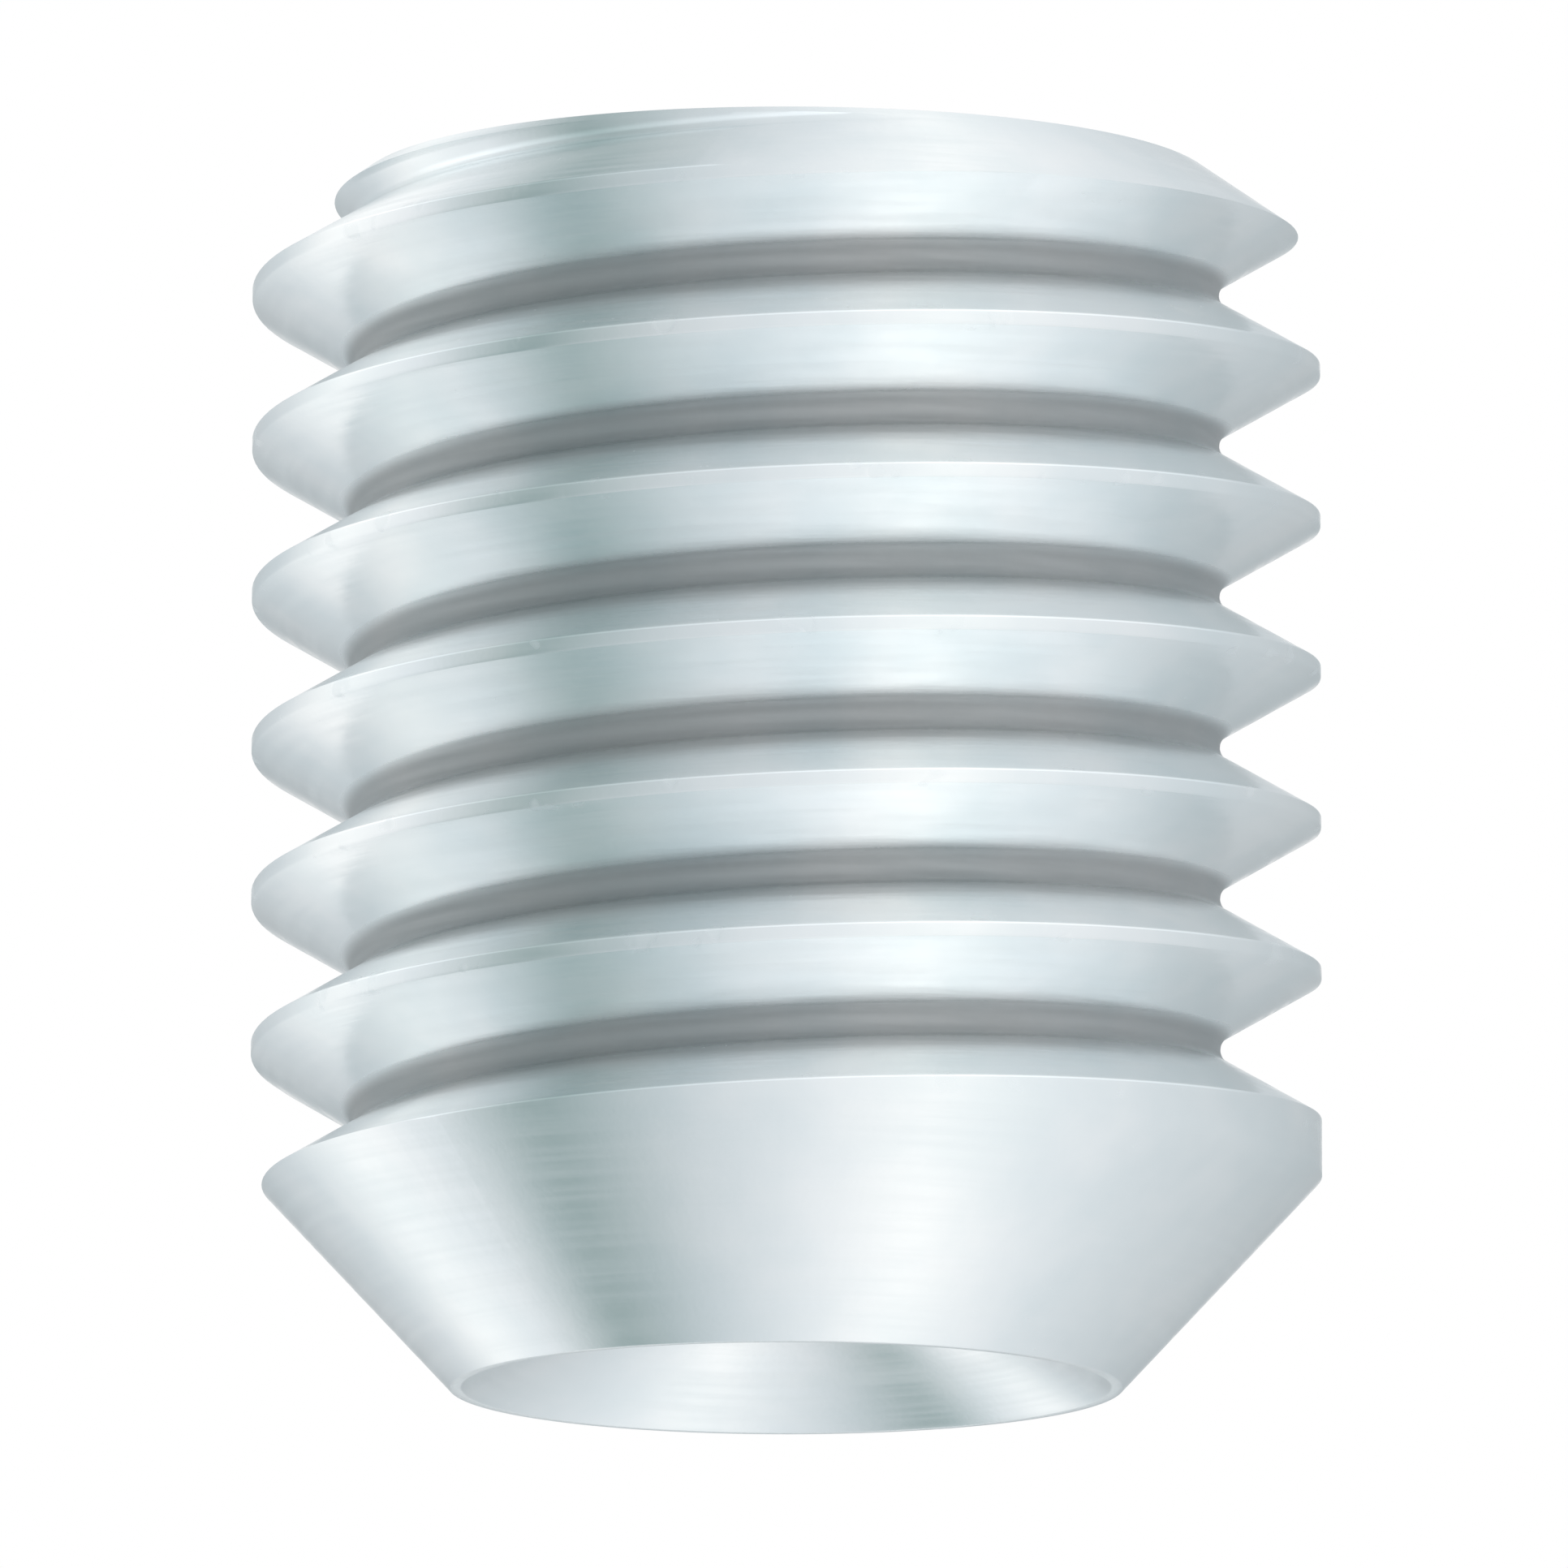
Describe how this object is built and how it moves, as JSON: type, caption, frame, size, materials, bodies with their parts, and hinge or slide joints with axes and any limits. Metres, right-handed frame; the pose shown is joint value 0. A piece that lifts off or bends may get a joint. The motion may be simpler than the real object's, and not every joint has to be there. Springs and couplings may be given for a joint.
{
  "type": "grub screw",
  "caption": "Headless grub screw with a coarse right-hand thread, a hexagon socket in one end and a cup point on the other.",
  "frame": {"origin": "centre of the flat rim of the cup point, on the screw's axis; the screw stands on this rim", "axes": "+Z along the screw's axis, from the cup point up to the socket end; +X through a corner of the hexagon socket; +Y completes the right-handed frame"},
  "size_m": [0.014, 0.014, 0.016],
  "materials": {
    "steel": "bright satin metal"
  },
  "bodies": {
    "root": {"set_screw": "steel"}
  },
  "joints": []
}
